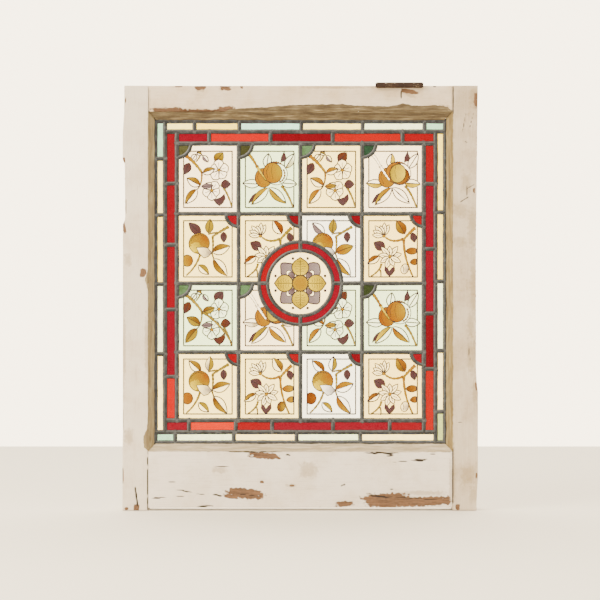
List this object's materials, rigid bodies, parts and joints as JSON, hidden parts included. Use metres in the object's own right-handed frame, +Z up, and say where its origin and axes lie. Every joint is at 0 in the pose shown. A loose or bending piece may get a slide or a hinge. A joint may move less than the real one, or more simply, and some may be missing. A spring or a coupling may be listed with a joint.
{
  "type": "stained glass window",
  "caption": "Painted wooden sash with a leaded panel of painted fruit and blossom glass, a central roundel and red and pale borders, and one rusted butt hinge on its top edge.",
  "frame": {"origin": "middle of the sash's top edge, halfway through its thickness", "axes": "+Z up, -Y out of the putty side (weather side), +Y out of the room side, +X to the right as seen from the putty side"},
  "size_m": [0.584, 0.0539, 0.7016],
  "materials": {
    "painted_wood": "old off-white oil paint on softwood, chipped and cracked",
    "putty": "hard, weathered linseed putty, tan to ochre",
    "lead": "dull grey lead with soldered joints",
    "rusty_iron": "rusted iron with remnants of paint",
    "red_glass": "flashed ruby to orange-red glass",
    "green_glass": "olive to pale green glass",
    "clear_glass": "pale tinted cathedral glass, each piece a little different",
    "painted_glass": "kiln-painted pale glass with silver stain"
  },
  "bodies": {
    "sash": {"bottom_rail": "painted_wood", "clear_border_bottom": "clear_glass", "clear_border_left": "clear_glass", "clear_border_right": "clear_glass", "clear_border_top": "clear_glass", "green_corner_r1c1": "green_glass", "green_corner_r1c2": "green_glass", "green_corner_r1c3": "green_glass", "green_corner_r1c4": "green_glass", "green_corner_r3c1": "green_glass", "green_corner_r3c2": "green_glass", "green_corner_r3c4": "green_glass", "hinge_pin": "rusty_iron", "hinge_sash_leaf": "rusty_iron", "hinge_screw_1": "rusty_iron", "hinge_screw_2": "rusty_iron", "hinge_screw_3": "rusty_iron", "lead_cames": "lead", "left_stile": "painted_wood", "putty_bottom": "putty", "putty_left": "putty", "putty_right": "putty", "putty_top": "putty", "quarry_r1c1": "painted_glass", "quarry_r1c2": "painted_glass", "quarry_r1c3": "painted_glass", "quarry_r1c4": "painted_glass", "quarry_r2c1": "painted_glass", "quarry_r2c2": "painted_glass", "quarry_r2c3": "painted_glass", "quarry_r2c4": "painted_glass", "quarry_r3c1": "painted_glass", "quarry_r3c2": "painted_glass", "quarry_r3c3": "painted_glass", "quarry_r3c4": "painted_glass", "quarry_r4c1": "painted_glass", "quarry_r4c2": "painted_glass", "quarry_r4c3": "painted_glass", "quarry_r4c4": "painted_glass", "red_border_bottom": "red_glass", "red_border_left": "red_glass", "red_border_right": "red_glass", "red_border_top": "red_glass", "red_corner_r2c1": "red_glass", "red_corner_r2c2": "red_glass", "red_corner_r2c3": "red_glass", "red_corner_r2c4": "red_glass", "red_corner_r4c1": "red_glass", "red_corner_r4c2": "red_glass", "red_corner_r4c3": "red_glass", "red_corner_r4c4": "red_glass", "red_ring_lower_left": "red_glass", "red_ring_lower_right": "red_glass", "red_ring_upper_left": "red_glass", "red_ring_upper_right": "red_glass", "right_stile": "painted_wood", "roundel_glass": "painted_glass", "top_rail": "painted_wood"},
    "hinge_leaf": {"hinge_frame_leaf": "rusty_iron"}
  },
  "joints": [
    {"name": "hinge_turn", "type": "hinge", "parent": "sash", "child": "hinge_leaf", "pos_m": [0.1623, -0.02715, 0.0002], "axis": [1, 0, 0], "range_deg": [0, 270]}
  ]
}
